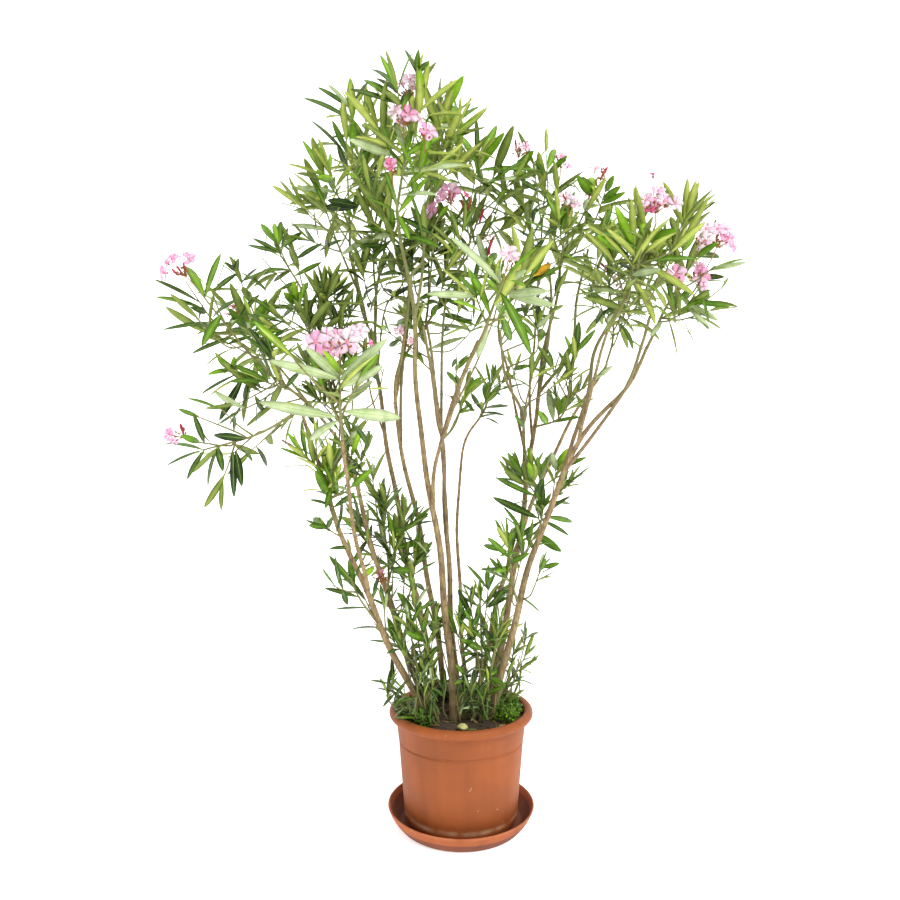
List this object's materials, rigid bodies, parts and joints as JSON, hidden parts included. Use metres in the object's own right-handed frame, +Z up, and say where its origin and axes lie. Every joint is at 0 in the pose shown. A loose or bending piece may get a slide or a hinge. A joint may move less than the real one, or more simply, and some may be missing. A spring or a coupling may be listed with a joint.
{
  "type": "potted oleander",
  "caption": "Tall flowering shrub with many bare stems and a loose crown of narrow leaves and pink blossom, in a round pot that stands in a saucer.",
  "frame": {"origin": "middle of the saucer's flat underside", "axes": "+Z up along the pot's axis; -Y towards the viewer of the picture, with +X to the right"},
  "size_m": [1.3953, 1.0853, 1.8898],
  "materials": {
    "terracotta": "satin, terracotta orange",
    "saucer": "satin, darker and browner than the pot",
    "soil": "matt, moist potting soil",
    "pebble": "matt, pale yellow-green",
    "bark": "matt tan-brown bark, greener towards the tips",
    "foliage": "satin green leaves, with pink blossom",
    "blossom": "soft pink petals"
  },
  "bodies": {
    "root": {"saucer": "saucer", "pot": "terracotta", "soil": "soil", "pebble": "pebble", "left_outer_stem": "bark", "left_inner_stem": "bark", "back_left_stem": "bark", "back_centre_stem": "bark", "centre_stem": "bark", "middle_stem": "bark", "thin_stem": "bark", "right_outer_stem": "bark", "right_thick_stem": "bark", "right_rear_stem": "bark", "front_branch": "bark", "left_middle_bough": "bark", "left_high_bough": "bark", "upper_left_bough": "bark", "upper_back_bough": "bark", "crossing_bough": "bark", "centre_right_bough": "bark", "near_branch": "bark", "right_bright_bough": "bark", "right_back_bough": "bark", "right_inner_bough": "bark", "far_left_leaves": "foliage", "left_middle_leaves": "foliage", "left_inner_leaves": "foliage", "left_upper_leaves": "foliage", "left_shoulder_leaves": "foliage", "low_left_leaves": "foliage", "left_tuft_leaves": "foliage", "left_side_leaves": "foliage", "left_low_leaves": "foliage", "front_leaves": "foliage", "upper_left_leaves": "foliage", "upper_left_side_leaves": "foliage", "upper_back_leaves": "foliage", "centre_back_leaves": "foliage", "top_leaves": "foliage", "centre_crown_leaves": "foliage", "centre_right_leaves": "foliage", "near_leaves": "foliage", "centre_inner_leaves": "foliage", "middle_right_leaves": "foliage", "middle_far_leaves": "foliage", "right_inner_leaves": "foliage", "right_centre_leaves": "foliage", "right_crown_leaves": "foliage", "right_rear_leaves": "foliage", "right_flowering_leaves": "foliage", "far_right_leaves": "foliage", "right_lower_leaves": "foliage", "right_middle_leaves": "foliage", "right_low_leaves": "foliage", "right_low_front_leaves": "foliage", "base_left_leaves": "foliage", "base_centre_leaves": "foliage", "base_right_leaves": "foliage"}
  },
  "joints": []
}
